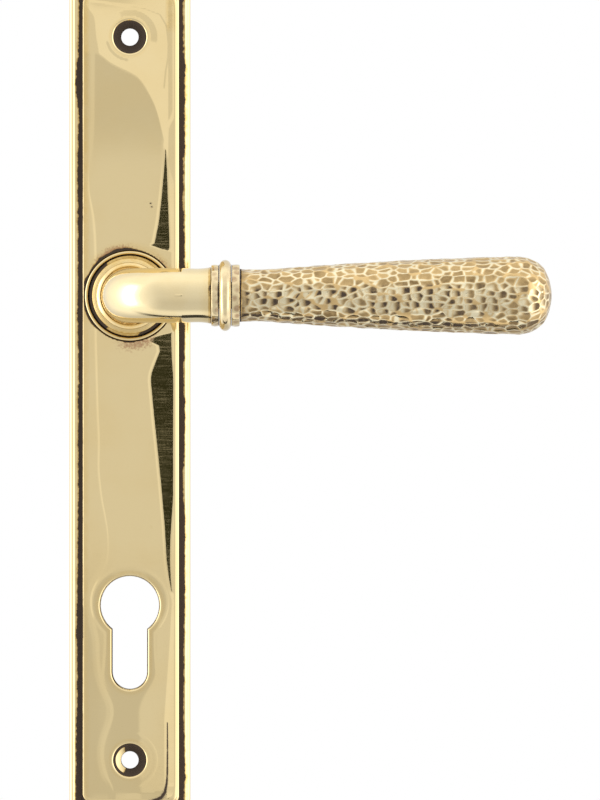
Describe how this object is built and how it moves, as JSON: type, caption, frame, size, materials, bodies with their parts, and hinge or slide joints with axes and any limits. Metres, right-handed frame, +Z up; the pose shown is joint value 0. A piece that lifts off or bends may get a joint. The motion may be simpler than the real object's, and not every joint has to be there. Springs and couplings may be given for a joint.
{
  "type": "door lever handle on backplate",
  "caption": "Aged brass door lever with hammered grip, beaded collar and flared neck, sprung on a slim backplate with a profile cylinder opening and a square spindle.",
  "frame": {"origin": "on the spindle's axis, in the plane of the door face that the backplate lies on", "axes": "+X right along the lever at rest, +Y back into the door along the spindle, +Z up along the backplate; the front faces -Y"},
  "size_m": [0.1431, 0.1021, 0.248],
  "materials": {
    "plate_brass": "hand-polished aged brass with dark brown patina in the corners",
    "ring_brass": "polished brass, dark in its groove",
    "lever_brass": "polished brass",
    "collar_brass": "turned brass, dark in the joints",
    "grip_brass": "hammered aged brass, bright on the ridges",
    "nylon": "natural nylon",
    "zinc_steel": "zinc-plated pressed steel",
    "zinc_screw": "zinc-plated screws",
    "hard_steel": "ground hardened steel",
    "spindle_steel": "drawn steel bar",
    "spring_steel": "oiled spring wire",
    "black_steel": "blackened steel"
  },
  "bodies": {
    "plate": {"backplate": "plate_brass", "neck_ring": "ring_brass", "neck_bush": "nylon", "stop_pins": "hard_steel", "spring_post": "hard_steel", "return_spring": "spring_steel", "cassette_cover": "zinc_steel", "cover_screws": "zinc_screw"},
    "lever": {"lever_neck": "lever_brass", "collar_inner_ring": "collar_brass", "collar_bead": "collar_brass", "collar_outer_ring": "collar_brass", "lever_grip": "grip_brass", "grip_stud": "hard_steel", "grub_screw": "black_steel", "spindle": "spindle_steel", "spacer_sleeve": "hard_steel", "drive_cam": "zinc_steel", "shim_washer": "hard_steel", "circlip": "black_steel"}
  },
  "joints": [
    {"name": "lever_turn", "type": "hinge", "parent": "plate", "child": "lever", "pos_m": [0, 0, 0], "axis": [0, 1, 0], "range_deg": [-45, 45], "stiffness_Nm_per_rad": 0.9, "springref_deg": -13.18, "deforming": ["return_spring"]}
  ]
}
